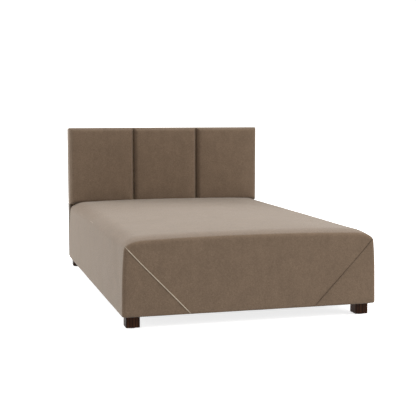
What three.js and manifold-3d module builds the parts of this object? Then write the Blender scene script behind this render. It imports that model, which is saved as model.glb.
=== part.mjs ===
// Dog bed with an upholstered box base, a three-pad headboard and four wooden feet.
// Millimetres, +Z up, the foot end towards -Y. The origin is on the floor, under the centre of the bed.
import * as THREE from 'three';
import { LoftGeometry } from 'three/addons/geometries/LoftGeometry.js';
import { mergeVertices } from 'three/addons/utils/BufferGeometryUtils.js';
import Module from 'manifold-3d';

const wasm = await Module();
wasm.setup();

// Overall sizes
const bedWidth = 800;
const bedLength = 1250; // front of the base to the back of the headboard
const headboardHeight = 571; // floor to the top of the pads
const headboardDepth = 83; // front of the pads to the back of the lining
const baseHeight = 272.5; // floor to the edge of the crowned top
const floorGap = 38; // floor to the top of the feet

// Shape of the upholstered base
const crownRise = 6.5; // how much higher the middle of the top is than its edge
const shoulderRun = 62; // width of the rounding between side and top
const shoulderRise = 35; // height of that rounding
const sideLean = 3; // how far each side leans in on its way up
const frontEdge = 14; // radius of the edge round the front face
const tuckRun = 45; // length of the curve that takes the top down under the pads
const tuckDrop = 4; // clearance under the pads there

// Shape of the headboard
const padBottom = 260; // floor to the bottom of the pads
const padGroove = 3; // slot between two pads
const padEdge = 7; // radius of the pads' front edges
const padCorner = 8; // radius of the pads' corners, seen from the front
const padCrown = 2; // how much further forward the middle of a pad stands than its edge
const edgeStep = 1; // how far the pads stand out beyond the edge band behind them
const bandDrop = 2; // how far the edge band reaches below the pads

// Feet
const footSize = 42;
const footSideInset = 11.5; // side of the base to the foot
const footFrontInset = 26; // front of the base to the foot
const footBackInset = 20; // back of the headboard to the foot
const footChamfer = 1.5;
const glideRadius = 14;
const glideThickness = 2;
const glideStemRadius = 2;
const glideStemLength = 12;

// Cloth, foam and timber stock
const velvet = 2;
const lining = 1;
const sidePadding = 7.9;
const edgePadding = 4;
const hemLip = 22; // cover turned in under the base
const dustMargin = 12; // edge of the base to the edge of the dust cover
const postSize = 50;
const railThickness = 22;
const railHeight = 90;
const centreRailWidth = 40;
const centreRailHeight = 60;
const deckThickness = 12;
const stileWidth = 50;
const stileDepth = 54;
const panelThickness = 9; // front panel of the headboard, and the boards in the pads
const topRailHeight = 60;
const middleRailHeight = 60;
const lowerRailHeight = 90;

// Fasteners
const hangerRadius = 4;
const hangerInFoot = 24;
const hangerInWood = 44;
const boltRadius = 4;
const boltLength = 66;
const boltHeadRadius = 7.5;
const boltHeadThickness = 5.5;
const boltHeight = 68; // bottom of the base to the headboard bolts
const innerBoltSpacing = 300;
const washerRadius = 11;
const washerThickness = 2;
const counterboreRadius = 13;
const counterboreDepth = 13;

const gap = 0.3; // between pieces that touch
const far = 3000; // reaches past the whole bed

// Levels and planes that follow from them
const halfWidth = bedWidth / 2;
const frontY = -bedLength / 2;
const backY = bedLength / 2;
const dustBottom = floorGap + gap;
const baseBottom = dustBottom + lining + gap;
const frameBottom = baseBottom + velvet + gap;
const frameTop = frameBottom + railHeight;
const deckTop = frameTop + gap + deckThickness;
const stileBack = backY - lining - gap;
const stileFront = stileBack - stileDepth;
const lowerClothFront = stileFront - gap - lining;
const baseRear = lowerClothFront - gap;
const padBack = stileFront - gap;
const padFront = backY - headboardDepth;
const boardFront = padBack - panelThickness;
const padWidth = (bedWidth - 2 * padGroove) / 3;
const frameHalf = halfWidth - velvet - gap - sidePadding - gap;
const frameFront = frontY + velvet + gap + sidePadding + gap;
const frameRear = baseRear - velvet - gap;
const bandHalf = halfWidth - edgeStep;
const bandTop = headboardHeight - edgeStep;
const bandBottom = padBottom - bandDrop;
const stileHalf = bandHalf - velvet - gap - edgePadding - gap;
const stileTop = bandTop - velvet - gap - edgePadding - gap;
const railFrontY = stileFront + panelThickness + gap;
const footX = halfWidth - footSideInset - footSize / 2;
const frontFootY = frontY + footFrontInset + footSize / 2;
const rearFootY = backY - footBackInset - footSize / 2;
const outerBoltX = stileHalf - stileWidth / 2 - 4 * boltRadius;
const boltZ = baseBottom + boltHeight;

const finish = (color, roughness, metalness = 0) => (
  new THREE.MeshStandardMaterial({ color, roughness, metalness })
);
const materials = {
  velvet: finish(0x7d6b59, 0.9),
  darkCloth: finish(0x4a3d31, 0.95),
  foam: finish(0xe6dcc2, 1),
  pine: finish(0xc8a676, 0.7),
  plywood: finish(0xb8925f, 0.7),
  wenge: finish(0x33231a, 0.5),
  zinc: finish(0xa9abad, 0.35, 1),
  plastic: finish(0x1d1c1b, 0.6),
};

const group = new THREE.Group();

// A closed three.js geometry as a manifold solid.
function solid(geometry) {
  const bare = geometry.index ? geometry.toNonIndexed() : geometry.clone();
  bare.deleteAttribute('normal');
  bare.deleteAttribute('uv');
  const merged = mergeVertices(bare, 1e-4);
  return new wasm.Manifold(new wasm.Mesh({
    numProp: 3,
    vertProperties: new Float32Array(merged.attributes.position.array),
    triVerts: new Uint32Array(merged.index.array),
  }));
}

function addPart(name, shape, material) {
  const cut = shape.getMesh();
  const geometry = new THREE.BufferGeometry();
  geometry.setAttribute('position', new THREE.BufferAttribute(cut.vertProperties, 3));
  geometry.setIndex(new THREE.BufferAttribute(cut.triVerts, 1));
  geometry.computeVertexNormals();
  const mesh = new THREE.Mesh(geometry, material);
  mesh.name = name;
  group.add(mesh);
}

function block([x0, x1], [y0, y1], [z0, z1]) {
  const geometry = new THREE.BoxGeometry(x1 - x0, y1 - y0, z1 - z0);
  geometry.translate((x0 + x1) / 2, (y0 + y1) / 2, (z0 + z1) / 2);
  return solid(geometry);
}

// A shape drawn in X and Z, pushed from y0 back to y1.
function extrudeY(shape, [y0, y1]) {
  const geometry = new THREE.ExtrudeGeometry(shape, {
    depth: y1 - y0,
    curveSegments: 4,
    bevelEnabled: false,
  });
  geometry.rotateX(Math.PI / 2);
  geometry.translate(0, y1, 0);
  return solid(geometry);
}

// A shape drawn in X and Y, pushed from z0 up to z1, with each of its arcs as one flat.
function chamferedZ(shape, [z0, z1]) {
  const geometry = new THREE.ExtrudeGeometry(shape, {
    depth: z1 - z0,
    curveSegments: 1,
    bevelEnabled: false,
  });
  geometry.translate(0, 0, z0);
  return solid(geometry);
}

// A solid through rings of equally many points, from the front one to the rear one.
function loft(rings) {
  const sections = rings.map((ring) => [...ring].reverse());
  return solid(new LoftGeometry(sections, { capStart: true, capEnd: true }));
}

// A shape drawn in X and Z as a ring of points at y.
function ringAt(shape, y, divisions) {
  const points = shape.getPoints(divisions);
  const closed = points[0].distanceTo(points.at(-1)) < gap / 10;
  return (closed ? points.slice(0, -1) : points).map((p) => new THREE.Vector3(p.x, y, p.y));
}

// Steps of a rounded edge: how far each ring lies in from the side, and back from the front.
function edgeSteps(radius, steps) {
  return Array.from({ length: steps + 1 }, (_, i) => {
    const angle = (i / steps) * (Math.PI / 2);
    return [radius * (1 - Math.sin(angle)), radius * (1 - Math.cos(angle))];
  });
}

// A turned piece: its profile is a list of [radius, height], and it stands at x, y.
function turned(profile, x, y, segments = 16) {
  const points = profile.map(([radius, height]) => new THREE.Vector2(radius, height));
  const geometry = new THREE.LatheGeometry(points, segments);
  geometry.rotateX(Math.PI / 2);
  geometry.translate(x, y, 0);
  return solid(geometry);
}

// A cylinder along Z or along Y.
function rodZ(radius, [z0, z1], x, y, segments = 16) {
  const geometry = new THREE.CylinderGeometry(radius, radius, z1 - z0, segments);
  geometry.rotateX(Math.PI / 2);
  geometry.translate(x, y, (z0 + z1) / 2);
  return solid(geometry);
}

function rodY(radius, [y0, y1], x, z, segments = 16) {
  const geometry = new THREE.CylinderGeometry(radius, radius, y1 - y0, segments);
  geometry.translate(x, (y0 + y1) / 2, z);
  return solid(geometry);
}

function roundedRectangle([x0, x1], [y0, y1], radius) {
  const shape = new THREE.Shape();
  shape.moveTo(x0 + radius, y0);
  shape.lineTo(x1 - radius, y0);
  shape.absarc(x1 - radius, y0 + radius, radius, -Math.PI / 2, 0);
  shape.absarc(x1 - radius, y1 - radius, radius, 0, Math.PI / 2);
  shape.absarc(x0 + radius, y1 - radius, radius, Math.PI / 2, Math.PI);
  shape.absarc(x0 + radius, y0 + radius, radius, Math.PI, 1.5 * Math.PI);
  shape.closePath();
  return shape;
}

// The base seen from the front: its sides and top this far inside its outer skin.
function baseSection(inset, bottom) {
  const arcX = halfWidth - sideLean - shoulderRun;
  const arcZ = baseHeight - shoulderRise;
  const run = shoulderRun - inset;
  const rise = shoulderRise - inset;
  const shape = new THREE.Shape();
  shape.moveTo(-halfWidth + inset, bottom);
  shape.lineTo(halfWidth - inset, bottom);
  shape.absellipse(arcX, arcZ, run, rise, 0, Math.PI / 2);
  shape.quadraticCurveTo(0, arcZ + rise + 2 * crownRise, -arcX, arcZ + rise);
  shape.absellipse(-arcX, arcZ, run, rise, Math.PI / 2, Math.PI);
  shape.closePath();
  return shape;
}

// The upholstered base as a solid, this far inside its outer skin: a rounded front edge, and a top
// that curves down at the rear to pass under the pads.
function baseEnvelope(inset) {
  const bottom = baseBottom + inset;
  const front = edgeSteps(frontEdge - inset, 3).map(([side, back]) => (
    ringAt(baseSection(inset + side, bottom), frontY + inset + back, 6)
  ));
  const low = padBottom - tuckDrop - inset;
  const high = baseHeight + crownRise - inset;
  const tuckEnd = padFront - tuckDrop - inset;
  const rear = edgeSteps(1, 5).reverse().map(([rise, run]) => {
    const ring = ringAt(baseSection(inset, bottom), tuckEnd - tuckRun * run, 6);
    const top = low + (high - low) * (1 - rise);
    return ring.map((p) => p.setZ(Math.min(p.z, top)));
  });
  const last = rear.at(-1).map((p) => p.clone().setY(baseRear - inset));
  return loft([...front, ...rear, last]);
}

// One pad of the headboard as a solid, this far inside its outer skin. It ends at y1 behind.
function padEnvelope(centreX, inset, y1) {
  const ring = (side, y) => {
    const half = padWidth / 2 - inset - side;
    const face = roundedRectangle(
      [centreX - half, centreX + half],
      [padBottom + inset + side, headboardHeight - inset - side],
      padCorner - inset,
    );
    return ringAt(face, y, 3);
  };
  const front = edgeSteps(padEdge - inset, 3).map(([side, back]) => (
    ring(side, padFront + padCrown + inset + back)
  ));
  const dome = ring(padWidth / 5, padFront + inset);
  return loft([dome, ...front, ring(0, y1)]);
}

// Bolts that hold the headboard to the base: each one's X, and the holes that they need.
const boltPlaces = {
  outer_left: -outerBoltX,
  inner_left: -innerBoltSpacing / 2,
  inner_right: innerBoltSpacing / 2,
  outer_right: outerBoltX,
};
const washerSeat = stileBack - counterboreDepth;
const boltSeat = washerSeat + washerThickness + 2 * gap;
const boltTip = boltSeat - boltLength;

function drillBolts(piece) {
  let drilled = piece;
  for (const x of Object.values(boltPlaces)) {
    drilled = drilled.subtract(rodY(boltRadius + gap, [boltTip - gap, stileBack], x, boltZ));
    drilled = drilled.subtract(rodY(counterboreRadius, [washerSeat, backY + gap], x, boltZ));
  }
  return drilled;
}

// Feet, as [name, x, y], and the holes for their hanger bolts.
const footPlaces = [
  ['front_left', -footX, frontFootY],
  ['front_right', footX, frontFootY],
  ['rear_left', -footX, rearFootY],
  ['rear_right', footX, rearFootY],
];

function drillHangers(piece) {
  const span = [floorGap - hangerInFoot - gap, floorGap + hangerInWood + gap];
  return footPlaces.reduce(
    (drilled, [, x, y]) => drilled.subtract(rodZ(hangerRadius + gap, span, x, y)),
    piece,
  );
}

function addBaseFrame() {
  const height = [frameBottom, frameTop];
  const inner = frameHalf - postSize - gap;
  const postDepths = {
    front: [frameFront, frameFront + postSize],
    rear: [frameRear - postSize, frameRear],
  };
  for (const [end, depth] of Object.entries(postDepths)) {
    const left = block([-frameHalf, -frameHalf + postSize], depth, height);
    const right = block([frameHalf - postSize, frameHalf], depth, height);
    addPart(`corner_post_${end}_left`, drillBolts(drillHangers(left)), materials.pine);
    addPart(`corner_post_${end}_right`, drillBolts(drillHangers(right)), materials.pine);
  }
  const front = block([-inner, inner], [frameFront, frameFront + railThickness], height);
  const rear = block([-inner, inner], [frameRear - railThickness, frameRear], height);
  addPart('base_rail_front', front, materials.pine);
  addPart('base_rail_rear', drillBolts(rear), materials.pine);
  const sideSpan = [postDepths.front[1] + gap, postDepths.rear[0] - gap];
  const left = block([-frameHalf, -frameHalf + railThickness], sideSpan, height);
  const right = block([frameHalf - railThickness, frameHalf], sideSpan, height);
  addPart('base_rail_left', left, materials.pine);
  addPart('base_rail_right', right, materials.pine);
  const centre = block(
    [-centreRailWidth / 2, centreRailWidth / 2],
    [frameFront + railThickness + gap, frameRear - railThickness - gap],
    [frameTop - centreRailHeight, frameTop],
  );
  addPart('centre_rail', centre, materials.pine);
  const deck = block([-frameHalf, frameHalf], [frameFront, frameRear], [frameTop + gap, deckTop]);
  addPart('deck_panel', deck, materials.plywood);
}

function addBasePadding() {
  const inside = baseEnvelope(velvet + gap);
  const top = inside.intersect(block([-far, far], [-far, far], [deckTop + gap, far]));
  addPart('top_foam', top, materials.foam);
  const height = [frameBottom - gap, deckTop];
  const frame = block(
    [-frameHalf - gap, frameHalf + gap],
    [frameFront - gap, far],
    [height[0] - gap, height[1] + gap],
  );
  const wrap = inside.subtract(frame);
  const pieces = {
    padding_front: block([-far, far], [-far, frameFront - gap], height),
    padding_left: block([-far, 0], [frameFront, far], height),
    padding_right: block([0, far], [frameFront, far], height),
  };
  for (const [name, region] of Object.entries(pieces)) {
    addPart(name, wrap.intersect(region), materials.foam);
  }
}

function addBaseCovers() {
  const opening = block(
    [-halfWidth + hemLip, halfWidth - hemLip],
    [frontY + hemLip, baseRear - hemLip],
    [0, baseBottom + velvet + gap],
  );
  const shell = baseEnvelope(0).subtract(baseEnvelope(velvet)).subtract(opening);
  addPart('base_cover', drillBolts(shell), materials.velvet);
  const dust = block(
    [-halfWidth + dustMargin, halfWidth - dustMargin],
    [frontY + dustMargin, baseRear - dustMargin],
    [dustBottom, dustBottom + lining],
  );
  addPart('dust_cover', drillHangers(dust), materials.darkCloth);
}

function addFoot(name, x, y) {
  const half = footSize / 2;
  const outline = roundedRectangle([x - half, x + half], [y - half, y + half], footChamfer);
  const foot = chamferedZ(outline, [glideThickness + gap, floorGap]);
  const stemHole = rodZ(
    glideStemRadius + gap,
    [0, glideThickness + glideStemLength - 2 * gap],
    x,
    y,
    8,
  );
  addPart(`foot_${name}`, drillHangers(foot).subtract(stemHole), materials.wenge);
  const glide = rodZ(glideRadius, [0, glideThickness], x, y, 20);
  const stem = rodZ(glideStemRadius, [0, glideStemLength], x, y, 8);
  addPart(`glide_${name}`, glide.add(stem), materials.plastic);
  const hanger = turned([
    [0, floorGap - hangerInFoot],
    [hangerRadius, floorGap - hangerInFoot],
    [hangerRadius, floorGap + hangerInWood - 2 * hangerRadius],
    [0, floorGap + hangerInWood],
  ], x, y, 12);
  addPart(`hanger_bolt_${name}`, hanger, materials.zinc);
}

function addHeadboardFrame() {
  const stileHeight = [dustBottom, stileTop];
  const inner = stileHalf - stileWidth - gap;
  const left = block([-stileHalf, -stileHalf + stileWidth], [stileFront, stileBack], stileHeight);
  const right = block([stileHalf - stileWidth, stileHalf], [stileFront, stileBack], stileHeight);
  addPart('headboard_stile_left', drillBolts(drillHangers(left)), materials.pine);
  addPart('headboard_stile_right', drillBolts(drillHangers(right)), materials.pine);
  const rails = {
    top: [stileTop - topRailHeight, stileTop],
    middle: [padBottom, padBottom + middleRailHeight],
    lower: [frameBottom, frameBottom + lowerRailHeight],
  };
  for (const [name, height] of Object.entries(rails)) {
    const rail = block([-inner, inner], [railFrontY, stileBack], height);
    addPart(`headboard_rail_${name}`, drillBolts(rail), materials.pine);
  }
  const panel = block(
    [-inner, inner],
    [stileFront, stileFront + panelThickness],
    [frameBottom, stileTop],
  );
  addPart('headboard_front_panel', drillBolts(panel), materials.plywood);
}

// An upside-down U over the top and sides of the headboard frame, with round outer corners.
function edgeBand(inset, thickness, innerRadius) {
  const half = bandHalf - inset;
  const top = bandTop - inset;
  const radius = padCorner - inset;
  const shape = new THREE.Shape();
  shape.moveTo(half - thickness, bandBottom);
  shape.lineTo(half, bandBottom);
  shape.absarc(half - radius, top - radius, radius, 0, Math.PI / 2);
  shape.absarc(radius - half, top - radius, radius, Math.PI / 2, Math.PI);
  shape.lineTo(-half, bandBottom);
  shape.lineTo(thickness - half, bandBottom);
  const [innerHalf, innerTop] = [half - thickness, top - thickness];
  if (innerRadius > 0) {
    const [x, z] = [innerHalf - innerRadius, innerTop - innerRadius];
    shape.absarc(-x, z, innerRadius, Math.PI, Math.PI / 2, true);
    shape.absarc(x, z, innerRadius, Math.PI / 2, 0, true);
  } else {
    shape.lineTo(-innerHalf, innerTop);
    shape.lineTo(innerHalf, innerTop);
  }
  shape.closePath();
  return extrudeY(shape, [stileFront, stileBack]);
}

function addHeadboardCovers() {
  const padding = edgeBand(velvet + gap, edgePadding, 0);
  addPart('headboard_edge_padding', padding, materials.foam);
  const cover = edgeBand(0, velvet, padCorner - velvet);
  addPart('headboard_edge_cover', cover, materials.velvet);
  // Below the pads the cloth goes over wadding at the sides, so that it is flush with the band.
  const height = [baseBottom, bandBottom - gap];
  const outer = block([-bandHalf, bandHalf], [lowerClothFront, stileBack], height);
  const inner = block(
    [-stileHalf - gap, stileHalf + gap],
    [stileFront - gap, far],
    [0, far],
  );
  addPart('headboard_lower_cover', drillBolts(outer.subtract(inner)), materials.darkCloth);
  const liner = block(
    [-stileHalf - gap, stileHalf + gap],
    [backY - lining, backY],
    [baseBottom, bandTop - velvet],
  );
  addPart('headboard_back_lining', drillBolts(liner), materials.darkCloth);
}

function addPad(name, centreX) {
  const shell = padEnvelope(centreX, 0, padBack);
  const space = padEnvelope(centreX, velvet, padBack + gap);
  const filling = padEnvelope(centreX, velvet + gap, padBack);
  const boardSpace = block([-far, far], [boardFront, far], [-far, far]);
  const foamSpace = block([-far, far], [-far, boardFront - gap], [-far, far]);
  addPart(`pad_cover_${name}`, shell.subtract(space), materials.velvet);
  addPart(`pad_foam_${name}`, filling.intersect(foamSpace), materials.foam);
  addPart(`pad_board_${name}`, filling.intersect(boardSpace), materials.plywood);
}

function addHeadboardBolt(name, x) {
  const washer = rodY(washerRadius, [washerSeat + gap, washerSeat + gap + washerThickness], x, boltZ);
  const washerHole = rodY(boltRadius + gap, [boltTip, backY], x, boltZ);
  addPart(`headboard_washer_${name}`, washer.subtract(washerHole), materials.zinc);
  const shank = rodY(boltRadius, [boltTip, boltSeat + gap], x, boltZ, 12);
  const head = rodY(boltHeadRadius, [boltSeat, boltSeat + boltHeadThickness], x, boltZ, 6);
  addPart(`headboard_bolt_${name}`, shank.add(head), materials.zinc);
}

addBaseFrame();
addBasePadding();
addBaseCovers();
footPlaces.forEach(([name, x, y]) => addFoot(name, x, y));
addHeadboardFrame();
addHeadboardCovers();
['left', 'centre', 'right'].forEach((name, i) => addPad(name, (i - 1) * (padWidth + padGroove)));
Object.entries(boltPlaces).forEach(([name, x]) => addHeadboardBolt(name, x));

export default group;
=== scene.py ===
"""Looks of the dog bed: an upholstered box base, a headboard of three pads and four wooden feet.

Metres, +Z up, the foot end towards -Y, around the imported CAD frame.
"""

import math
from contextlib import contextmanager

import bmesh
import bpy
import numpy as np
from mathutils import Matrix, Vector, noise
from mathutils.bvhtree import BVHTree


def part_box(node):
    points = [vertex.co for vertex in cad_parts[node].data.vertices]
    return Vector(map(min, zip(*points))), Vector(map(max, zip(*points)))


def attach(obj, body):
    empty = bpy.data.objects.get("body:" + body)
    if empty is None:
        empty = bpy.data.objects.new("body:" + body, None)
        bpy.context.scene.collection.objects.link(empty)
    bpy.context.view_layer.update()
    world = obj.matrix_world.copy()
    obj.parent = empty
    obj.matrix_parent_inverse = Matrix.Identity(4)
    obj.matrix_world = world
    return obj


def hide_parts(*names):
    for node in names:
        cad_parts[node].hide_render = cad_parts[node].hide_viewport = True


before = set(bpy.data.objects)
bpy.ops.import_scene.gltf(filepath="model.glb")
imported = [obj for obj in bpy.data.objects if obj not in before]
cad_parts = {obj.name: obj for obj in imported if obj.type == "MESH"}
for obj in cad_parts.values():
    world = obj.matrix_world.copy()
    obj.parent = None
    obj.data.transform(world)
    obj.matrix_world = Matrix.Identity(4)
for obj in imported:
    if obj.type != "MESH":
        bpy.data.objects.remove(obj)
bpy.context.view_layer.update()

MM = 0.001
CLOTH = 2 * MM  # thickness of the velvet
LINING = 1 * MM

# The base: sizes that its CAD box doesn't give
SHOULDER_RUN = 62 * MM
SHOULDER_RISE = 35 * MM
CROWN = 6.5 * MM
SIDE_LEAN = 3 * MM
CORNER_EDGE = 12 * MM  # radius of the front face's two upright edges
TOP_EDGE = 14 * MM  # radius of its top edge
TOP_SLOPE = math.radians(14)  # how steep the top is where that edge begins
TOP_SLOPE_RUN = 70 * MM  # how far behind the front the top starts to fall
TUCK_RUN = 45 * MM
TUCK_DROP = 4 * MM
HEM = 22 * MM
SEAM_FOOT = 198 * MM  # how far from the middle each slanting seam meets the hem
FOLD_RAISE = 0.8 * MM  # how far the middle panel stands out along its folded edge
FOLD_DIP = 0.3 * MM  # how far the corner panel is drawn in beside it
FOLD_REACH = 34 * MM
FOLD_RADIUS = 1.4 * MM
FOLD_SHOWS = 0.2 * MM  # how far the middle of the rolled edge stands in front of the cloth
FOLD_INWARDS = (0.73, 0.68)  # from a seam towards the middle panel: inwards and up
SIDE_BELLY = 4.5 * MM
HEM_ROWS = (0.2, 0.6)  # where rows lie across the cloth that is turned in, as shares of its width
HEM_SHADE = (39.6 * MM, 46 * MM)  # heights between which painted shade darkens the velvet towards the hem
HEM_TONE = 0.82  # how dark that painted shade is at the lower one

# How far simulated padding may swell
BASE_SWELL = 3 * MM
PAD_SWELL = 3.5 * MM

PAD_EDGE = 12 * MM  # width of the pads' softened front edges, seen from the front
PAD_EDGE_DEPTH = 18 * MM
PAD_BEVEL = 1.2  # 2 would round those edges evenly, and 1 would cut them off straight
PAD_CORNER = 6  # the same for a pad's four corners, seen from the front: nearly square
PAD_CROWN = 2.5 * MM
PAD_CROWN_POWER = 0.6  # below 1, the crown is flat in the middle and steep at the edges
PAD_BACK_EDGE = 2.5 * MM
PAD_BOARD_GRIP = 9 * MM  # strip at the back of a pad that its board holds while it swells
PAD_SPREAD = 0.6 * MM  # how far a pad may pass its CAD box at the sides
PAD_SPACING = 11 * MM

# The edge band, the cloths and what fastens them
BAND_BEND = 3 * MM
BAND_BULGE = 0.5 * MM  # how far the band's padding stands out between its two bends
BAND_FLAT = 8 * MM  # from the band's edges to where that padding is even
LOWER_BEND = 4 * MM
HOLE_RADIUS = 13 * MM
BINDING_RADIUS = 0.9 * MM
STAPLE_CROWN = 9 * MM
STAPLE_WIRE = 0.5 * MM
# Rows of staples: from the cloth's edge, from its corners, how many across and up, and off its surface
BACK_STAPLES = {"inset": 9 * MM, "clear": 12 * MM, "counts": (22, 15), "stand": 0.35 * MM}
UNDER_STAPLES = {"inset": 8 * MM, "clear": 14 * MM, "counts": (20, 30), "stand": 1.3 * MM}
DUST_SAG = 3.2 * MM
FOOT_EDGE = 1.5 * MM


# ---------------------------------------------------------------- materials


class Shader:
    """A material's nodes, with short ways to add them. Textures use the object's own coordinates."""

    def __init__(self, name):
        self.material = bpy.data.materials.new(name)
        self.material.use_nodes = True
        self.tree = self.material.node_tree
        self.bsdf = self.tree.nodes["Principled BSDF"]
        self.place = self.node("ShaderNodeTexCoord").outputs["Object"]

    def node(self, kind, **settings):
        made = self.tree.nodes.new(kind)
        for key, value in settings.items():
            setattr(made, key, value)
        return made

    def feed(self, socket, value):
        if isinstance(value, bpy.types.NodeSocket):
            self.tree.links.new(value, socket)
        elif hasattr(value, "__len__") and len(value) == 3 and socket.type == "RGBA":
            socket.default_value = (*value, 1)
        else:
            socket.default_value = value

    def set(self, **values):
        for key, value in values.items():
            self.feed(self.bsdf.inputs[key.replace("_", " ")], value)

    def stretched(self, scale):
        """The coordinates times a factor on each axis."""
        made = self.node("ShaderNodeVectorMath", operation="MULTIPLY")
        self.feed(made.inputs[0], self.place)
        made.inputs[1].default_value = scale
        return made.outputs[0]

    def noise(self, scale, detail=2, rough=0.5, stretch=None, distortion=0):
        made = self.node("ShaderNodeTexNoise")
        self.feed(made.inputs["Vector"], self.stretched(stretch) if stretch else self.place)
        made.inputs["Scale"].default_value = scale
        made.inputs["Detail"].default_value = detail
        made.inputs["Roughness"].default_value = rough
        made.inputs["Distortion"].default_value = distortion
        return made.outputs["Fac"]

    def cells(self, scale):
        made = self.node("ShaderNodeTexVoronoi")
        self.feed(made.inputs["Vector"], self.place)
        made.inputs["Scale"].default_value = scale
        return made.outputs["Distance"]

    def bands(self, scale, direction, distortion=0, stretch=None):
        made = self.node("ShaderNodeTexWave", bands_direction=direction)
        self.feed(made.inputs["Vector"], self.stretched(stretch) if stretch else self.place)
        made.inputs["Scale"].default_value = scale
        made.inputs["Distortion"].default_value = distortion
        made.inputs["Detail"].default_value = 2
        return made.outputs["Fac"]

    def span(self, value, low, high, to_low=0.0, to_high=1.0):
        """value from low..high to to_low..to_high, held inside them."""
        made = self.node("ShaderNodeMapRange")
        self.feed(made.inputs["Value"], value)
        for key, x in zip(("From Min", "From Max", "To Min", "To Max"), (low, high, to_low, to_high)):
            made.inputs[key].default_value = x
        return made.outputs["Result"]

    def math(self, operation, a, b):
        made = self.node("ShaderNodeMath", operation=operation)
        self.feed(made.inputs[0], a)
        self.feed(made.inputs[1], b)
        return made.outputs[0]

    def mix(self, share, a, b):
        made = self.node("ShaderNodeMix", data_type="RGBA")
        self.feed(made.inputs["Factor"], share)
        self.feed(made.inputs[6], a)
        self.feed(made.inputs[7], b)
        return made.outputs[2]

    def shade(self, colour, amount):
        """colour times a grey amount."""
        made = self.node("ShaderNodeVectorMath", operation="SCALE")
        self.feed(made.inputs[0], colour)
        self.feed(made.inputs["Scale"], amount)
        return made.outputs[0]

    def bump(self, height, depth, onto=None):
        made = self.node("ShaderNodeBump")
        self.feed(made.inputs["Height"], height)
        made.inputs["Distance"].default_value = depth
        if onto is not None:
            self.feed(made.inputs["Normal"], onto)
        return made.outputs["Normal"]

    def height(self):
        """Height above the floor."""
        made = self.node("ShaderNodeSeparateXYZ")
        self.feed(made.inputs[0], self.place)
        return made.outputs["Z"]


def velvet_material(name, colour, sheen=0.3, tint=(1.0, 0.98, 0.92)):
    """Short-pile velvet: a mottled nap brushed downwards, with a pale sheen at grazing angles."""
    s = Shader(name)
    dark = tuple(c * 0.96 for c in colour)
    light = tuple(c * 1.04 for c in colour)
    patches = s.span(s.noise(22, detail=2, rough=0.5), 0.32, 0.68)
    cloth = s.mix(patches, dark, light)
    streaks = s.noise(60, detail=2, rough=0.55, stretch=(1, 1, 0.2))
    cloth = s.shade(cloth, s.span(streaks, 0.3, 0.7, 0.97, 1.03))
    nap = s.noise(190, detail=3, rough=0.7)
    cloth = s.shade(cloth, s.span(nap, 0.34, 0.66, 0.9, 1.1))
    grain = s.noise(420, detail=3, rough=0.7)
    cloth = s.shade(cloth, s.span(grain, 0.3, 0.7, 0.82, 1.18))
    pile = s.noise(1500, detail=2, rough=0.8)
    cloth = s.shade(cloth, s.span(pile, 0.25, 0.75, 0.92, 1.08))
    # painted shade: the velvet darkens just above the hem, where the cloth turns under
    hem = s.span(s.height(), *HEM_SHADE, HEM_TONE, 1.0)
    cloth = s.shade(cloth, hem)
    normal = s.bump(s.noise(120, detail=2), 0.35 * MM)
    normal = s.bump(grain, 0.3 * MM, normal)
    normal = s.bump(pile, 0.12 * MM, normal)
    s.set(Base_Color=cloth, Normal=normal, Roughness=s.span(grain, 0.3, 0.7, 0.82, 0.95))
    s.set(Sheen_Weight=sheen, Sheen_Roughness=0.42, Sheen_Tint=tint, Specular_IOR_Level=0.2)
    return s.material


def felt_material(name, colour):
    """Spun-bonded lining: fine fibres pressed together at a grid of small points."""
    s = Shader(name)
    fibres = s.noise(420, detail=4, rough=0.75, distortion=1.5)
    points = s.span(s.cells(620), 0.0, 0.45)
    cloth = s.mix(s.span(fibres, 0.3, 0.7), tuple(c * 0.6 for c in colour), tuple(c * 1.5 for c in colour))
    cloth = s.shade(cloth, s.span(points, 0, 1, 0.7, 1.1))
    cloth = s.shade(cloth, s.span(s.noise(9, detail=2), 0.3, 0.7, 0.85, 1.15))
    normal = s.bump(points, 0.15 * MM)
    normal = s.bump(fibres, 0.12 * MM, normal)
    s.set(Base_Color=cloth, Normal=normal, Roughness=s.span(fibres, 0.3, 0.7, 0.78, 0.95))
    s.set(Sheen_Weight=0.25, Sheen_Roughness=0.5, Specular_IOR_Level=0.25)
    return s.material


GRAIN = {"x": (0.07, 1, 1), "y": (1, 0.07, 1), "z": (1, 1, 0.07)}


def wood_material(name, dark, light, axis, rings=34, gloss=0.45, pores=0.5, shine=0.4):
    """Timber with its grain along an axis: rings, fine pores and slow changes of tone."""
    s = Shader(name)
    stretch = GRAIN[axis]
    across = "X" if axis != "x" else "Y"
    ring = s.bands(rings, across, distortion=5, stretch=stretch)
    fibre = s.noise(520, detail=4, rough=0.65, stretch=stretch)
    slow = s.noise(22, detail=2, stretch=stretch)
    tone = s.math("ADD", s.math("MULTIPLY", ring, 0.45), s.math("MULTIPLY", slow, 0.55))
    wood = s.mix(s.span(tone, 0.2, 0.85), dark, light)
    wood = s.shade(wood, s.span(fibre, 0.3, 0.7, 1 - pores / 2, 1 + pores / 2))
    normal = s.bump(fibre, 0.12 * MM)
    s.set(Base_Color=wood, Normal=normal, Roughness=s.span(fibre, 0.3, 0.7, gloss + 0.12, gloss - 0.06))
    s.set(Specular_IOR_Level=shine)
    return s.material


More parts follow.
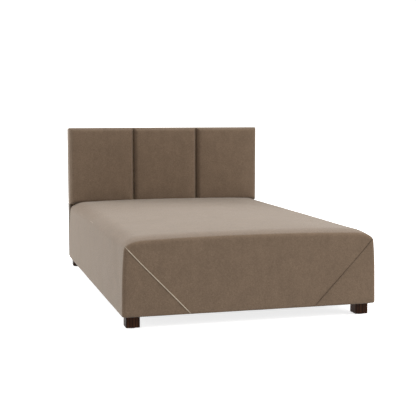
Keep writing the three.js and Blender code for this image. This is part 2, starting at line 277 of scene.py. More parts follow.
def plywood_material(name, axis):
    """Birch plywood: veneers stacked along an axis, with a cathedral figure on its faces."""
    s = Shader(name)
    layers = s.span(s.bands(70, axis.upper(), distortion=0.2), 0.35, 0.65)
    figure = s.noise(60, detail=4, rough=0.6, stretch=(0.12, 1, 1), distortion=0.6)
    wood = s.mix(s.span(figure, 0.3, 0.7), (0.42, 0.25, 0.11), (0.66, 0.46, 0.24))
    wood = s.mix(layers, s.shade(wood, 0.78), wood)
    fine = s.noise(700, detail=3, stretch=(0.15, 1, 1))
    s.set(Base_Color=wood, Normal=s.bump(fine, 0.1 * MM), Roughness=s.span(fine, 0.3, 0.7, 0.75, 0.6))
    return s.material


def metal_material(name, colour, rough):
    """Zinc-plated steel: a fine crystalline sheen with faint scratches."""
    s = Shader(name)
    crystals = s.cells(900)
    scratches = s.noise(900, detail=3, stretch=(1, 0.08, 1))
    metal = s.mix(s.span(crystals, 0, 0.6), tuple(c * 0.8 for c in colour), tuple(c * 1.15 for c in colour))
    s.set(Base_Color=metal, Metallic=1.0, Normal=s.bump(scratches, 0.03 * MM))
    s.set(Roughness=s.span(crystals, 0, 0.6, rough - 0.08, rough + 0.1))
    return s.material


def plastic_material(name, colour):
    """Moulded plastic with a fine spark-eroded texture."""
    s = Shader(name)
    pits = s.noise(1400, detail=3, rough=0.7)
    dust = s.noise(40, detail=3)
    tint = s.mix(s.span(dust, 0.3, 0.8), colour, tuple(c * 2.2 + 0.004 for c in colour))
    s.set(Base_Color=tint, Normal=s.bump(pits, 0.06 * MM), Roughness=s.span(pits, 0.3, 0.7, 0.5, 0.66))
    return s.material


def thread_material(name, colour):
    """Sewing thread: two plies twisted round each other."""
    s = Shader(name)
    twist = s.bands(900, "DIAGONAL")
    s.set(Base_Color=s.mix(twist, tuple(c * 0.7 for c in colour), colour), Normal=s.bump(twist, 0.1 * MM))
    s.set(Roughness=s.span(twist, 0, 1, 0.6, 0.8), Sheen_Weight=0.3)
    return s.material


def floor_material():
    s = Shader("studio_floor")
    shade = s.span(s.noise(3), 0.3, 0.7, 0.97, 1.0)
    s.set(Base_Color=s.shade((0.93, 0.93, 0.93), shade), Roughness=0.9, Emission_Strength=0.75)
    s.set(Emission_Color=(1, 1, 1), Specular_IOR_Level=0.0)
    return s.material


VELVET = (0.182, 0.126, 0.084)
WENGE = {"dark": (0.01, 0.0035, 0.0017), "light": (0.055, 0.021, 0.009)}
PINE = {"dark": (0.42, 0.24, 0.09), "light": (0.68, 0.47, 0.23)}
materials = {
    "velvet": velvet_material("velvet", VELVET),
    "fold_lit": velvet_material("fold_lit", (0.52, 0.44, 0.34), sheen=0.45),
    "fold_shaded": velvet_material("fold_shaded", tuple(c * 0.6 for c in VELVET), sheen=0.1),
    # painted shade: the headboard's lower cloth is the velvet darkened to stand in for the shade under the
    # pads
    "lower_cloth": velvet_material("lower_cloth", (0.075, 0.05, 0.033), sheen=0.25),
    "dark_cloth": felt_material("dark_cloth", (0.022, 0.02, 0.019)),
    "wenge": wood_material("wenge", **WENGE, axis="z", pores=0.8, shine=0.08),
    "pine_x": wood_material("pine_x", **PINE, axis="x"),
    "pine_y": wood_material("pine_y", **PINE, axis="y"),
    "pine_z": wood_material("pine_z", **PINE, axis="z"),
    "plywood_z": plywood_material("plywood_z", "z"),
    "plywood_y": plywood_material("plywood_y", "y"),
    "zinc": metal_material("zinc", (0.55, 0.56, 0.58), 0.34),
    "glide_plastic": plastic_material("glide_plastic", (0.014, 0.013, 0.012)),
    "thread": thread_material("thread", (0.16, 0.12, 0.085)),
}

CARRIED = {
    "corner_post": "pine_z",
    "headboard_stile": "pine_z",
    "base_rail_front": "pine_x",
    "base_rail_rear": "pine_x",
    "base_rail_left": "pine_y",
    "base_rail_right": "pine_y",
    "centre_rail": "pine_y",
    "headboard_rail": "pine_x",
    "deck_panel": "plywood_z",
    "headboard_front_panel": "plywood_y",
    "pad_board": "plywood_y",
    "glide": "glide_plastic",
    "hanger_bolt": "zinc",
    "headboard_washer": "zinc",
    "headboard_bolt": "zinc",
}


def finish_cad_nodes():
    """Gives each CAD node that stays its material."""
    for name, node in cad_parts.items():
        for start, key in CARRIED.items():
            if name.startswith(start):
                node.data.materials.clear()
                node.data.materials.append(materials[key])


# ---------------------------------------------------------------- mesh tools


def add_piece(name, mesh, material, smooth=True):
    obj = bpy.data.objects.new(name, mesh)
    bpy.context.scene.collection.objects.link(obj)
    mesh.materials.clear()
    mesh.materials.append(materials[material])
    for polygon in mesh.polygons:
        polygon.use_smooth = smooth
    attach(obj, "root")
    return obj


def finished(name, bm):
    """A new mesh with what the bmesh holds."""
    mesh = bpy.data.meshes.new(name)
    bm.to_mesh(mesh)
    bm.free()
    return mesh


@contextmanager
def edited(mesh):
    """The mesh as a bmesh, which is written back at the end."""
    bm = bmesh.new()
    bm.from_mesh(mesh)
    yield bm
    bm.to_mesh(mesh)
    bm.free()


def patches_mesh(name, patches, weld=0.05 * MM):
    """One mesh from grids of points, each (rows, columns, 3), welded where they meet."""
    bm = bmesh.new()
    for grid in patches:
        rows, columns = grid.shape[:2]
        verts = [[bm.verts.new(grid[i, j]) for j in range(columns)] for i in range(rows)]
        for i in range(rows - 1):
            for j in range(columns - 1):
                bm.faces.new((verts[i][j], verts[i][j + 1], verts[i + 1][j + 1], verts[i + 1][j]))
    bmesh.ops.remove_doubles(bm, verts=bm.verts, dist=weld)
    bmesh.ops.dissolve_degenerate(bm, edges=bm.edges, dist=weld)
    bmesh.ops.recalc_face_normals(bm, faces=bm.faces)
    return finished(name, bm)


def points_of(mesh):
    co = np.empty(len(mesh.vertices) * 3)
    mesh.vertices.foreach_get("co", co)
    return co.reshape(-1, 3)


def set_points(mesh, co):
    mesh.vertices.foreach_set("co", co.astype(np.float32).ravel())
    mesh.update()


def with_modifiers(name, mesh, *modifiers):
    """The mesh after these modifiers, each (kind, settings)."""
    obj = bpy.data.objects.new(name, mesh)
    bpy.context.scene.collection.objects.link(obj)
    for kind, settings in modifiers:
        modifier = obj.modifiers.new(kind.lower(), kind)
        for key, value in settings.items():
            setattr(modifier, key, value)
    graph = bpy.context.evaluated_depsgraph_get()
    done = bpy.data.meshes.new_from_object(obj.evaluated_get(graph))
    bpy.data.objects.remove(obj)
    done.name = name
    return done


def subdivided(name, mesh):
    return with_modifiers(name, mesh, ("SUBSURF", {"levels": 1, "render_levels": 1}))


def thickened(name, mesh, thickness):
    return with_modifiers(name, mesh, ("SOLIDIFY", {"thickness": thickness, "offset": -1}))


def inflate(mesh, held, swell, pressure=4.0, frames=20):
    """Swells a closed mesh by cloth simulation, with no gravity. held marks the points that stay, and the
    one that moves furthest moves by swell."""
    rest = points_of(mesh)
    obj = bpy.data.objects.new("inflating", mesh)
    bpy.context.scene.collection.objects.link(obj)
    group = obj.vertex_groups.new(name="held")
    group.add([int(i) for i in np.flatnonzero(held)], 1.0, "REPLACE")
    cloth = obj.modifiers.new("cloth", "CLOTH")
    settings = cloth.settings
    settings.quality = 5
    settings.mass = 0.3
    settings.tension_stiffness = 25
    settings.compression_stiffness = 25
    settings.shear_stiffness = 12
    settings.bending_stiffness = 3
    settings.vertex_group_mass = "held"
    settings.use_pressure = True
    settings.uniform_pressure_force = pressure
    settings.effector_weights.gravity = 0
    cloth.collision_settings.use_collision = False
    scene = bpy.context.scene
    scene.frame_start, scene.frame_end = 1, frames
    for number in range(1, frames + 1):
        scene.frame_set(number)
    graph = bpy.context.evaluated_depsgraph_get()
    moved = points_of(obj.evaluated_get(graph).data)
    bpy.data.objects.remove(obj)
    scene.frame_set(1)
    shift = moved - rest
    furthest = np.linalg.norm(shift, axis=1).max()
    if furthest > 1e-9:
        set_points(mesh, rest + shift * (swell / furthest))


def soft_dents(mesh, amount, scale, seed):
    """Moves the points along their normals by a slow noise: cloth stretched by hand is never quite even."""
    co = points_of(mesh)
    normals = np.empty(co.size)
    mesh.vertex_normals.foreach_get("vector", normals)
    start = Vector((seed, 2 * seed, 3 * seed))
    value = np.array([noise.noise(Vector(p) * scale + start) for p in co])
    set_points(mesh, co + normals.reshape(-1, 3) * (amount * value)[:, None])


def tube_mesh(name, lines, radius, sides=8, taper=0):
    """Round cords along lines of points, closed at both ends. Each end narrows over taper points."""
    bm = bmesh.new()
    for line in lines:
        count = len(line)
        rings = []
        for i, point in enumerate(line):
            along = (line[min(i + 1, count - 1)] - line[max(i - 1, 0)]).normalized()
            side = along.cross(Vector((0, 1, 0.01))).normalized()
            up = side.cross(along)
            end = min(i, count - 1 - i)
            size = radius * (math.sin(min(1, (end + 0.35) / taper) * math.pi / 2) if taper else 1)
            angles = [2 * math.pi * k / sides for k in range(sides)]
            spokes = [side * math.cos(a) + up * math.sin(a) for a in angles]
            rings.append([bm.verts.new(point + spoke * size) for spoke in spokes])
        for near, next_ring in zip(rings, rings[1:]):
            for k in range(sides):
                bm.faces.new((near[k], near[k - 1], next_ring[k - 1], next_ring[k]))
        bm.faces.new(rings[0])
        bm.faces.new(rings[-1][::-1])
    bmesh.ops.recalc_face_normals(bm, faces=bm.faces)
    return finished(name, bm)


def add_staples(name, low, high, point, out, inset, clear, counts, stand):
    """Staples along the four sides of a flat cloth. low and high are its corners as (u, v), and point turns
    (u, v) into a place. The rows lie inset from the edges, and end clear of each other at the corners."""
    left, right = low[0] + inset, high[0] - inset
    near, far = low[1] + inset, high[1] - inset
    along_u, along_v = point(1, 0) - point(0, 0), point(0, 1) - point(0, 0)
    places = []
    for u in np.linspace(left + clear, right - clear, counts[0]):
        places += [(point(u, v), along_u) for v in (near, far)]
    for v in np.linspace(near + clear, far - clear, counts[1]):
        places += [(point(u, v), along_v) for u in (left, right)]
    lines = []
    for middle, along in places:
        top = middle + out * stand
        ends = [top - along * STAPLE_CROWN / 2, top + along * STAPLE_CROWN / 2]
        legs = [e - out * 2.2 * stand for e in ends]
        lines.append([legs[0], ends[0], top, ends[1], legs[1]])
    return add_piece(name, tube_mesh(name, lines, STAPLE_WIRE, sides=6), "zinc")


# ---------------------------------------------------------------- the upholstered base

base_low, base_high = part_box("base_cover")
pad_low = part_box("pad_cover_left")[0]
HALF = base_high.x
FRONT = base_low.y
REAR = base_high.y
BOTTOM = base_low.z
ARC_X = HALF - SIDE_LEAN - SHOULDER_RUN
ARC_Z = base_high.z - CROWN - SHOULDER_RISE
TUCK_END = pad_low.y - TUCK_DROP
TUCK_LOW = pad_low.z - TUCK_DROP

SHOULDER_STEPS = 9
CROWN_STEPS = 44
SIDE_ROWS = 15
LENGTH_ROWS = 84
EDGE_ROWS = 8
NEAR_SEAM = (0, 1.6 * MM, 4 * MM, 9 * MM, 18 * MM, 30 * MM)


def edge_inset(y, radius):
    """How far in a rounded front edge of this radius lies at y."""
    depth = max(0.0, radius - (y - FRONT))
    return radius - math.sqrt(max(0.0, radius * radius - depth * depth))


def front_drop(y):
    """How far the top has fallen at y: a gentle slope towards the front, then the rounded edge."""
    edge = TOP_EDGE * (1 - math.sin(TOP_SLOPE))
    run = TOP_SLOPE_RUN - edge
    fall = math.tan(TOP_SLOPE) * run / 2
    behind = y - FRONT
    if behind >= edge:
        return fall * max(0.0, 1 - (behind - edge) / run) ** 2
    forward = TOP_EDGE - behind
    rounded = math.sqrt(max(0.0, TOP_EDGE * TOP_EDGE - forward * forward))
    return fall + TOP_EDGE * math.cos(TOP_SLOPE) - rounded


def arch(y):
    """The rounded top at y, seen from the front, from the left side to the right, as rows of x and z."""
    run = SHOULDER_RUN - edge_inset(y, CORNER_EDGE)
    rise = SHOULDER_RISE - front_drop(y)
    angle = np.linspace(0, math.pi / 2, SHOULDER_STEPS + 1)
    left = np.stack([-ARC_X - run * np.cos(angle), ARC_Z + rise * np.sin(angle)], 1)
    x = np.linspace(-ARC_X, ARC_X, CROWN_STEPS + 1)[1:-1]
    middle = np.stack([x, ARC_Z + rise + CROWN * (1 - (x / ARC_X) ** 2)], 1)
    right = left[::-1] * (-1, 1)
    return np.concatenate([left, middle, right])


def top_limit(y):
    """How high the top may reach at y: it curves down at the rear, to pass under the pads."""
    start = TUCK_END - TUCK_RUN
    if y <= start:
        return base_high.z
    share = min(1.0, (y - start) / TUCK_RUN)
    return TUCK_LOW + (base_high.z - TUCK_LOW) * math.sqrt(max(0.0, 1 - share * share))


def length_rows():
    """Y of each row of the top, from the rear to the end of the rounded front edge."""
    tuck = [TUCK_END - TUCK_RUN * (1 - math.cos(a)) for a in np.linspace(0, math.pi / 2, 9)]
    length = np.linspace(tuck[-1], FRONT + TOP_EDGE, LENGTH_ROWS)[1:]
    edge = [FRONT + TOP_EDGE * (1 - math.sin(a)) for a in np.linspace(TOP_SLOPE, math.pi / 2, EDGE_ROWS)]
    return [REAR, (REAR + TUCK_END) / 2, *tuck, *length, *edge]


def spaced_foot(count):
    """Shares 0..1 across the middle panel's hem: count of them, with narrow steps beside both seams."""
    width = 2 * SEAM_FOOT
    near = np.array(NEAR_SEAM) / width
    inner = np.linspace(near[-1], 1 - near[-1], count - 2 * len(near) + 2)[1:-1]
    return np.concatenate([near, inner, 1 - near[::-1]])


def front_panel_rows():
    """The middle panel of the front, from its rounded top edge to the hem, narrowing between the seams."""
    top = arch(FRONT)
    foot_x = (spaced_foot(len(top)) * 2 - 1) * SEAM_FOOT
    foot = np.stack([foot_x, np.full(len(top), BOTTOM)], 1)
    rows = []
    for share in np.linspace(0, 1, SIDE_ROWS + 1)[1:]:
        xz = top * (1 - share) + foot * share
        rows.append(np.stack([xz[:, 0], np.full(len(xz), FRONT), xz[:, 1]], 1))
    return rows


def hem_rows(edge):
    """The rows that turn the cloth's lower edge in under the frame."""
    inner_x, front, rear = HALF - HEM, FRONT + HEM, REAR - HEM
    inner = np.clip(edge, (-inner_x, front, BOTTOM), (inner_x, rear, BOTTOM))
    return [*(edge + (inner - edge) * share for share in HEM_ROWS), inner]


def side_columns():
    """The left side as columns from the rear to the front edge and over the corner panel to the seam. Each
    runs from the hem up to where the rounded top begins."""
    up = np.linspace(0, 1, SIDE_ROWS + 1)[:, None]
    columns = []
    for y in length_rows():
        inset = edge_inset(y, CORNER_EDGE)
        low = np.array([-HALF + inset, y, BOTTOM])
        high = np.array([-ARC_X - SHOULDER_RUN + inset, y, ARC_Z])
        columns.append(low + (high - low) * up)
    corner = columns[-1]
    seam = np.array([-SEAM_FOOT, FRONT, BOTTOM]) + (corner[-1] - (-SEAM_FOOT, FRONT, BOTTOM)) * up
    width = HALF - CORNER_EDGE - SEAM_FOOT
    near = 1 - np.array(NEAR_SEAM[::-1]) / width
    shares = np.concatenate([np.linspace(0, near[0], 12)[1:-1], near])
    columns += [corner + (seam - corner) * share for share in shares]
    return columns


def base_patches():
    """The base's outer skin as grids: top and middle front, both sides with corner panels, the rear."""
    rows = []
    for y in length_rows():
        xz = arch(y)
        z = np.minimum(xz[:, 1], top_limit(y))
        rows.append(np.stack([xz[:, 0], np.full(len(xz), y), z], 1))
    rear_top = rows[0]
    rows += front_panel_rows()
    rows += hem_rows(rows[-1])
    top = np.array(rows)

    side = np.array(side_columns()).transpose(1, 0, 2)
    side = np.concatenate([np.array(hem_rows(side[0]))[::-1], side])
    mirrored = side[:, ::-1] * (-1, 1, 1)

    share = (rear_top[:, 0] - rear_top[0, 0]) / (rear_top[-1, 0] - rear_top[0, 0])
    foot = np.stack([(share * 2 - 1) * HALF, np.full(len(share), REAR), np.full(len(share), BOTTOM)], 1)
    down = np.linspace(0, 1, SIDE_ROWS + 1)[:, None, None]
    rear = rear_top * (1 - down) + foot * down
    rear = np.concatenate([rear, np.array(hem_rows(rear[-1]))])
    return [top[:, ::-1], side[:, ::-1], mirrored[:, ::-1], rear]


def belly(z):
    """How far the stuffed sides stand out beyond the frame's box at a height: nothing just above the start
    of the rounded top, and all of it on the lower part of the side."""
    start, full_at = ARC_Z + 12 * MM, 0.55
    share = np.clip((start - z) / (ARC_Z - BOTTOM), 0, 1)
    return SIDE_BELLY * np.sin(np.minimum(share / full_at, 1) * math.pi / 2)


def swell_sides(co):
    """Moves the sides out by the belly, all of it at the sides and none in the middle."""
    share = np.clip((np.abs(co[:, 0]) - HALF * 0.5) / (HALF * 0.5 - CORNER_EDGE), 0, 1) ** 2
    co[:, 0] += np.sign(co[:, 0]) * share * belly(co[:, 2])
    return co


def seam_line(side, steps):
    """The slanting seam on one side, from its start in the rounded corner to the hem. side is -1 or 1."""
    corner = Vector((side * (ARC_X + SHOULDER_RUN - CORNER_EDGE), FRONT, ARC_Z))
    foot = Vector((side * SEAM_FOOT, FRONT, BOTTOM))
    up = (corner - foot) / abs(corner.x - foot.x)
    bend = []
    for turn in (50, 35, 18):
        angle = math.radians(turn)
        back = Vector((0, CORNER_EDGE * (1 - math.cos(angle)), 0))
        bend.append(corner + up * (CORNER_EDGE * math.sin(angle)) + back)
    line = bend + [corner.lerp(foot, k / steps) for k in range(steps + 1)]
    return [Vector(p) for p in swell_sides(np.array(line))]


def fold_front_seams(mesh):
    """Raises the middle panel of the front beside each seam, and draws the corner panels in."""
    co = points_of(mesh)
    on_face = co[:, 1] < FRONT + CORNER_EDGE / 3
    for side in (-1, 1):
        line = seam_line(side, 1)
        top, foot = line[-2], line[-1]
        along = np.array([foot.x - top.x, foot.z - top.z])
        along /= np.linalg.norm(along)
        across = np.array([-along[1], along[0]]) * side
        if across[0] * side > 0:
            across = -across
        offset = (co[:, [0, 2]] - (top.x, top.z)) @ across
        middle = on_face & (offset > 0.4 * MM)
        corner = on_face & (offset < -0.4 * MM) & (co[:, 0] * side > 0)
        middle &= co[:, 0] * side > 0
        co[middle, 1] -= FOLD_RAISE * np.exp(-offset[middle] / FOLD_REACH)
        co[corner, 1] += FOLD_DIP * np.exp(offset[corner] / FOLD_REACH)
    set_points(mesh, co)


def close_hole(mesh):
    """Adds one face over the open edge, and returns the mesh's number of faces before it."""
    count = len(mesh.polygons)
    with edited(mesh) as bm:
        bmesh.ops.holes_fill(bm, edges=[e for e in bm.edges if e.is_boundary], sides=0)
    return count


def drop_faces(mesh, kept):
    """Takes away the faces after the first kept ones."""
    with edited(mesh) as bm:
        bm.faces.ensure_lookup_table()
        bmesh.ops.delete(bm, geom=bm.faces[kept:], context="FACES_ONLY")


def make_base():
    mesh = patches_mesh("base_upholstery", base_patches())
    set_points(mesh, swell_sides(points_of(mesh)))
    kept = close_hole(mesh)
    co = points_of(mesh)
    held = (co[:, 2] < BOTTOM + 4 * MM) | (co[:, 1] > TUCK_END - 2 * MM)
    inflate(mesh, held, BASE_SWELL)
    drop_faces(mesh, kept)
    mesh = subdivided("base_upholstery", mesh)
    fold_front_seams(mesh)
    soft_dents(mesh, 0.6 * MM, 9, seed=4)
    mesh = thickened("base_upholstery", mesh, CLOTH)
    base = add_piece("base_upholstery", mesh, "velvet")
    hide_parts("base_cover", "top_foam", "padding_front", "padding_left", "padding_right")
    return base


def make_front_folds(base):
    """The rolled edge of the middle panel, which lies on the cloth along each slanting seam."""
    corners = [v.co for v in base.data.vertices]
    cloth = BVHTree.FromPolygons(corners, [p.vertices for p in base.data.polygons])
    rearwards = Vector((0, 1, 0))
    for side, word in ((-1, "left"), (1, "right")):
        inward = Vector((-side * FOLD_INWARDS[0], 0, FOLD_INWARDS[1])) * FOLD_RADIUS
        rolled = []
        for point in seam_line(side, 60):
            hit = cloth.ray_cast(point + inward - rearwards * SHOULDER_RISE, rearwards)[0]
            rolled.append(hit - rearwards * FOLD_SHOWS if hit else point + inward)
        mesh = tube_mesh(f"front_fold_{word}", [rolled], FOLD_RADIUS, sides=10, taper=5)
        add_piece(f"front_fold_{word}", mesh, "fold_lit" if side < 0 else "fold_shaded")


# ---------------------------------------------------------------- the headboard

band_low, band_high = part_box("headboard_edge_cover")
lower_low, lower_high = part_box("headboard_lower_cover")
lining_low, lining_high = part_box("headboard_back_lining")


def steps_between(low, high, edge, spacing, edge_steps=4):
    """Coordinates from low to high: close together in the rounded edges, even between them."""
    bend = [edge * math.tan(math.pi / 4 * k / edge_steps) for k in range(edge_steps)]
    count = max(2, round((high - low - 2 * edge) / spacing))
    inner = np.linspace(low + edge, high - edge, count + 1)
    return np.concatenate([[low + b for b in bend], inner, [high - b for b in reversed(bend)]])


def box_patches(xs, ys, zs):
    """The six faces of a box as grids over these coordinates, turned outwards, the rear one last."""

    def face(us, vs, point, flip):
        grid = np.array([[point(u, v) for u in us] for v in vs])
        return grid[:, ::-1] if flip else grid

    return [
        face(xs, zs, lambda u, v: (u, ys[0], v), False),
        face(ys, zs, lambda u, v: (xs[0], u, v), True),
        face(ys, zs, lambda u, v: (xs[-1], u, v), False),
        face(xs, ys, lambda u, v: (u, v, zs[0]), True),
        face(xs, ys, lambda u, v: (u, v, zs[-1]), False),
        face(xs, zs, lambda u, v: (u, ys[-1], v), True),
    ]


def bevelled(co, low, high, reach):
    """Points of a box moved in to soften its front edges, as far as reach goes along each axis."""
    core = np.clip(co, low + reach, [high[0] - reach[0], high[1], high[2] - reach[2]])
    out = np.abs(co - core) / reach
    seen_from_front = (out[:, 0] ** PAD_CORNER + out[:, 2] ** PAD_CORNER) ** (1 / PAD_CORNER)
    size = (out[:, 1] ** PAD_BEVEL + seen_from_front ** PAD_BEVEL) ** (1 / PAD_BEVEL)
    share = np.divide(out.max(1), size, out=np.ones_like(size), where=size > 1e-9)
    return core + (co - core) * share[:, None]


def make_pad(word):
    """One padded panel: a flat cushion over a board, with soft edges and a low crown."""
    name = f"pad_{word}"
    low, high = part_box(f"pad_cover_{word}")
    front = low + Vector((0, PAD_CROWN, 0))
    xs = steps_between(front.x, high.x, PAD_EDGE, PAD_SPACING)
    zs = steps_between(front.z, high.z, PAD_EDGE, PAD_SPACING)
    ys = np.concatenate([
        [front.y + PAD_EDGE_DEPTH * math.tan(math.pi / 4 * k / 4) for k in range(4)],
        np.linspace(front.y + PAD_EDGE_DEPTH, high.y - PAD_BACK_EDGE, 3),
        [high.y - PAD_BACK_EDGE / 2, high.y],
    ])
    mesh = patches_mesh(name, box_patches(xs, ys, zs))
    reach = np.array([PAD_EDGE, PAD_EDGE_DEPTH, PAD_EDGE])
    co = bevelled(points_of(mesh), np.array(front), np.array(high), reach)
    centre, half = (low + high) / 2, (high - low) / 2
    crown = (1 - ((co[:, 0] - centre.x) / half.x) ** 2) * (1 - ((co[:, 2] - centre.z) / half.z) ** 2)
    forward = np.clip((high.y - co[:, 1]) / (high.y - front.y), 0, 1)
    co[:, 1] -= PAD_CROWN * np.clip(crown, 0, 1) ** PAD_CROWN_POWER * forward
    turned_in = 1 - (np.array(PAD_BACK_EDGE) / half)[[0, 2]]
    for axis, share in zip((0, 2), turned_in):
        rear = np.clip((co[:, 1] - high.y) / PAD_BACK_EDGE + 1, 0, 1) ** 2
        co[:, axis] = centre[axis] + (co[:, axis] - centre[axis]) * (1 - (1 - share) * rear)
    set_points(mesh, co)
    held = co[:, 1] > high.y - PAD_BOARD_GRIP
    inflate(mesh, held, PAD_SWELL)
    open_back(mesh, high.y)
    mesh = subdivided(name, mesh)
    soft_dents(mesh, 0.5 * MM, 14, seed=len(word))
    co = points_of(mesh)
    co[:, 0] = np.clip(co[:, 0], low.x - PAD_SPREAD, high.x + PAD_SPREAD)
    set_points(mesh, co)
    mesh = thickened(name, mesh, CLOTH)
    pad = add_piece(name, mesh, "velvet")
    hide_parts(f"pad_cover_{word}", f"pad_foam_{word}")


def open_back(mesh, back):
    """Takes away the faces at the back, where the cloth ends round the board."""
    with edited(mesh) as bm:
        rear = [f for f in bm.faces if all(v.co.y > back - 0.1 * MM for v in f.verts)]
        bmesh.ops.delete(bm, geom=rear, context="FACES")


def round_path(half, top, bottom, radius, spacing):
    """Points and outward directions along an upside-down U, from the left over the top to the right."""
    line = []
    for z in np.arange(bottom, top - radius, spacing):
        line.append(((-half, z), (-1, 0)))
    for angle in np.linspace(math.pi, math.pi / 2, 7):
        out = (math.cos(angle), math.sin(angle))
        line.append(((-half + radius + radius * out[0], top - radius + radius * out[1]), out))
    for x in np.arange(-half + radius + spacing, 0, spacing):
        line.append(((x, top), (0, 1)))
    mirrored = [((-x, z), (-nx, nz)) for (x, z), (nx, nz) in reversed(line)]
    return line + mirrored


def make_edge_cover():
    """The velvet band over the top and sides of the headboard frame, rounded where it turns to the back.
    Its profile's points are (y, how far they stand out from the CAD band's surface)."""
    front, back, bend = band_low.y, band_high.y, BAND_BEND
    profile = [(front, -2 * bend), (front, -0.8 * bend)]
    profile += [(front + 0.25 * bend, -0.25 * bend), (front + bend, 0.0)]
    profile += [(y, BAND_BULGE) for y in np.linspace(front + BAND_FLAT, back - BAND_FLAT, 5)]
    for k in range(5):
        angle = math.pi / 2 * k / 4
        profile.append((back - bend + bend * math.sin(angle), -bend + bend * math.cos(angle)))
    profile += [(back, -CLOTH - bend), (back - CLOTH, -CLOTH - bend), (back - CLOTH - 1 * MM, -CLOTH)]
    path = round_path(band_high.x, band_high.z, band_low.z, 8 * MM, 12 * MM)
    bm = bmesh.new()
    rings = []
    for (x, z), (nx, nz) in path:
        rings.append([bm.verts.new((x + nx * out, y, z + nz * out)) for y, out in profile])
    count = len(profile)
    for near, following in zip(rings, rings[1:]):
        for k in range(count):
            n = (k + 1) % count
            bm.faces.new((near[k], near[n], following[n], following[k]))
    bm.faces.new(rings[0])
    bm.faces.new(rings[-1][::-1])
    bmesh.ops.recalc_face_normals(bm, faces=bm.faces)
    mesh = finished("headboard_edge_velvet", bm)
    cover = add_piece("headboard_edge_velvet", mesh, "velvet")
    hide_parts("headboard_edge_cover", "headboard_edge_padding")


def make_lower_cover():
    """The cloth round the front and sides of the headboard's lower half, darkened with painted shade for
    the shade under the pads.
    """
    half, front, back = lower_high.x, lower_low.y, lower_high.y
    bend = LOWER_BEND
    plan = [(-half, y) for y in np.linspace(back, front + bend, 6)]
    for k in range(1, 5):
        angle = math.pi / 2 * k / 5
        plan.append((-half + bend * (1 - math.cos(angle)), front + bend * (1 - math.sin(angle))))
    plan += [(x, front) for x in np.linspace(-half + bend, 0, 24)[:-1]]
    plan += [(0, front)] + [(-x, y) for x, y in reversed(plan)]
    grid = np.array([[(x, y, z) for x, y in plan] for z in np.linspace(lower_low.z, lower_high.z, 20)])
    mesh = patches_mesh("headboard_lower_cloth", [grid])
    mesh = thickened("headboard_lower_cloth", mesh, LINING)
    cloth = add_piece("headboard_lower_cloth", mesh, "lower_cloth")
    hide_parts("headboard_lower_cover")


def cloth_grid(low, high, spacing, point):
    """A flat grid of points between two corners of a plane; point turns (u, v) into a place."""
    (u0, v0), (u1, v1) = low, high
    us = np.linspace(u0, u1, max(2, round((u1 - u0) / spacing)) + 1)
    vs = np.linspace(v0, v1, max(2, round((v1 - v0) / spacing)) + 1)
    return np.array([[point(u, v) for u in us] for v in vs])


def cut_round_holes(mesh, centres, radius, axes):
    """Takes away the faces inside each circle and draws the edge of the hole onto it."""
    a, b = axes

    def away(v, centre):
        return math.hypot(v.co[a] - centre[a], v.co[b] - centre[b])

    with edited(mesh) as bm:
        for centre in centres:
            inside = [v for v in bm.verts if away(v, centre) < radius]
            bmesh.ops.delete(bm, geom=inside, context="VERTS")
            for v in [v for v in bm.verts if v.is_boundary and away(v, centre) < 2 * radius]:
                size = away(v, centre)
                for axis in axes:
                    v.co[axis] = centre[axis] + (v.co[axis] - centre[axis]) * radius / size


bolt_boxes = {n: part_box(n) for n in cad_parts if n.startswith("headboard_bolt")}


def make_back_lining():
    """The lining on the back of the headboard: bolt holes with bound edges, and staples all round."""
    low, high = lining_low, lining_high
    grid = cloth_grid((low.x, low.z), (high.x, high.z), 6 * MM, lambda u, v: (u, high.y, v))
    mesh = patches_mesh("back_lining", [grid[:, ::-1]])
    centres = [(lo + hi) / 2 for lo, hi in bolt_boxes.values()]
    cut_round_holes(mesh, centres, HOLE_RADIUS, (0, 2))
    mesh = thickened("back_lining", mesh, LINING)
    lining = add_piece("back_lining", mesh, "dark_cloth")
    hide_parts("headboard_back_lining")

    def ring(centre):
        turns = [2 * math.pi * k / 24 for k in range(25)]
        around = [(HOLE_RADIUS * math.cos(a), HOLE_RADIUS * math.sin(a)) for a in turns]
        return [Vector((centre.x + x, high.y - 0.4 * MM, centre.z + z)) for x, z in around]

    mesh = tube_mesh("bolt_hole_binding", [ring(centre) for centre in centres], BINDING_RADIUS)
    binding = add_piece("bolt_hole_binding", mesh, "thread")

    def point(x, z):
        return Vector((x, high.y, z))

    out = Vector((0, 1, 0))
    corners = (low.x, low.z), (high.x, high.z)
    staples = add_staples("back_staples", *corners, point, out, **BACK_STAPLES)


def make_dust_cover():
    """The thin cloth under the base. It hangs a little between the rails that it is stapled to."""
    low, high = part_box("dust_cover")
    frame_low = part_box("base_rail_left")[0]

    rail, end_rail, centre_reach = 20 * MM, 30 * MM, 60 * MM

    def sag(x, y):
        """How far the cloth hangs: nothing at the outer rails, and little under the centre rail."""
        across = max(0.0, 1 - (x / (abs(frame_low.x) - rail)) ** 2)
        along = max(0.0, 1 - ((y - (low.y + high.y) / 2) / ((high.y - low.y) / 2 - end_rail)) ** 2)
        middle = 1 - 0.8 * math.exp(-((x / centre_reach) ** 2))
        return DUST_SAG * across * min(1, 3 * along) * middle

    grid = cloth_grid((low.x, low.y), (high.x, high.y), 14 * MM, lambda x, y: (x, y, low.z - sag(x, y)))
    mesh = patches_mesh("dust_cloth", [grid[:, ::-1]])
    soft_dents(mesh, 0.3 * MM, 22, seed=7)
    co = points_of(mesh)
    co[:, 2] = np.minimum(co[:, 2], low.z + 0.2 * MM)
    set_points(mesh, co)
    mesh = thickened("dust_cloth", mesh, LINING)
    cloth = add_piece("dust_cloth", mesh, "dark_cloth")
    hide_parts("dust_cover")

    def point(x, y):
        return Vector((x, y, low.z))

    out = Vector((0, 0, -1))
    corners = (low.x, low.y), (high.x, high.y)
    staples = add_staples("underside_staples", *corners, point, out, **UNDER_STAPLES)


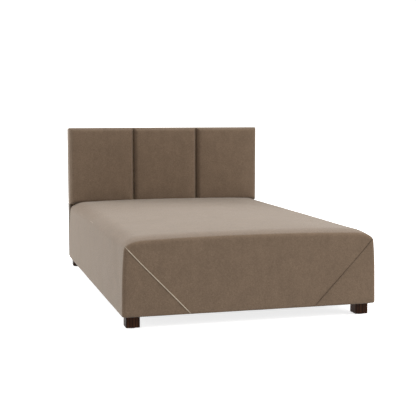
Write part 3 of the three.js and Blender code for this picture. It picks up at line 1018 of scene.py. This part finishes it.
def make_foot(word):
    """A square wooden block with softened edges."""
    low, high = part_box(f"foot_{word}")
    bm = bmesh.new()
    bmesh.ops.create_cube(bm, size=1)
    for v in bm.verts:
        v.co = Vector([(low[k] + high[k]) / 2 + v.co[k] * (high[k] - low[k]) for k in range(3)])
    bmesh.ops.bevel(bm, geom=bm.edges[:], offset=FOOT_EDGE, segments=3, profile=0.5, affect="EDGES")
    mesh = finished(f"block_{word}", bm)
    block = add_piece(f"block_{word}", mesh, "wenge", smooth=False)
    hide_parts(f"foot_{word}")


# ---------------------------------------------------------------- studio


# The white surroundings towards each side: the axis, which way along it, and the strength there
STUDIO = (
    ("X", 1, 0.6),
    ("X", -1, 0.6),
    ("Y", -1, 0.4),
    ("Y", 1, 1.16),
    ("Z", 1, 1.45),
    ("Z", -1, 1.3),
)
FLOOR_HALF = 60  # metres, so that its edge is out of sight

# Area lights: place, what each aims at, width and height, watts, colour
WHITE = (1, 1, 1)
COOL = (0.97, 0.98, 1.0)
WARM = (1, 0.98, 0.96)
LIGHTS = {
    "back_high": ((0.6, 2.6, 2.2), (0, 0, 0.2), (2.0, 1.0), 26, COOL),
    "left_back": ((-2.2, 1.7, 1.3), (-0.4, -0.1, 0.2), (1.4, 1.2), 28, WHITE),
    "right_front": ((2.6, -1.9, 1.2), (0.2, -0.4, 0.2), (0.8, 1.6), 42, WARM),
    "front_high": ((0.8, -2.4, 2.6), (0.0, -0.3, 0.2), (1.5, 1.0), 5, WARM),
}

CAMERA_PLACE = (-0.8923, -3.2948, 0.6429)
CAMERA_AIM = (0.2682, 0.9578, -0.1031)
CAMERA_LENS = 81.61  # millimetres, for a sensor 36 wide


def make_studio():
    world = bpy.data.worlds.new("studio")
    bpy.context.scene.world = world
    world.use_nodes = True
    nodes, links = world.node_tree.nodes, world.node_tree.links
    axes = nodes.new("ShaderNodeSeparateXYZ")
    links.new(nodes.new("ShaderNodeTexCoord").outputs["Generated"], axes.inputs[0])

    def step(operation, *values):
        made = nodes.new("ShaderNodeMath")
        made.operation = operation
        for socket, value in zip(made.inputs, values):
            if isinstance(value, bpy.types.NodeSocket):
                links.new(value, socket)
            else:
                socket.default_value = value
        return made.outputs[0]

    strength = 0.0
    for axis, way, share in STUDIO:
        towards = step("MAXIMUM", step("MULTIPLY", axes.outputs[axis], way), 0.0)
        strength = step("MULTIPLY_ADD", step("POWER", towards, 2.0), share, strength)
    background = nodes["Background"]
    background.inputs["Color"].default_value = (1, 1, 1, 1)
    links.new(strength, background.inputs["Strength"])
    view = bpy.context.scene.view_settings
    view.view_transform = "Standard"
    view.look = "None"

    bm = bmesh.new()
    bmesh.ops.create_grid(bm, x_segments=4, y_segments=4, size=FLOOR_HALF)
    mesh = finished("studio_floor", bm)
    mesh.materials.append(floor_material())
    floor = bpy.data.objects.new("studio_floor", mesh)
    floor.visible_diffuse = False
    bpy.context.scene.collection.objects.link(floor)


def add_light(name, place, target, size, power, colour):
    light = bpy.data.lights.new(name, "AREA")
    light.shape = "RECTANGLE"
    light.size, light.size_y = size
    light.energy = power
    light.color = colour
    obj = bpy.data.objects.new(name, light)
    obj.location = place
    obj.rotation_mode = "QUATERNION"
    obj.rotation_quaternion = (Vector(target) - Vector(place)).to_track_quat("-Z", "Y")
    obj.visible_camera = False
    bpy.context.scene.collection.objects.link(obj)


def make_camera():
    camera = bpy.data.cameras.new("camera")
    camera.lens = CAMERA_LENS
    camera.sensor_width = 36
    camera.clip_end = 200
    obj = bpy.data.objects.new("camera", camera)
    obj.location = CAMERA_PLACE
    obj.rotation_mode = "QUATERNION"
    obj.rotation_quaternion = Vector(CAMERA_AIM).to_track_quat("-Z", "Y")
    bpy.context.scene.collection.objects.link(obj)
    bpy.context.scene.camera = obj


make_camera()
make_studio()
for light_name, settings in LIGHTS.items():
    add_light(light_name, *settings)
finish_cad_nodes()
make_front_folds(make_base())
for pad_word in ("left", "centre", "right"):
    make_pad(pad_word)
make_edge_cover()
make_lower_cover()
make_back_lining()
make_dust_cover()
for foot_word in ("front_left", "front_right", "rear_left", "rear_right"):
    make_foot(foot_word)
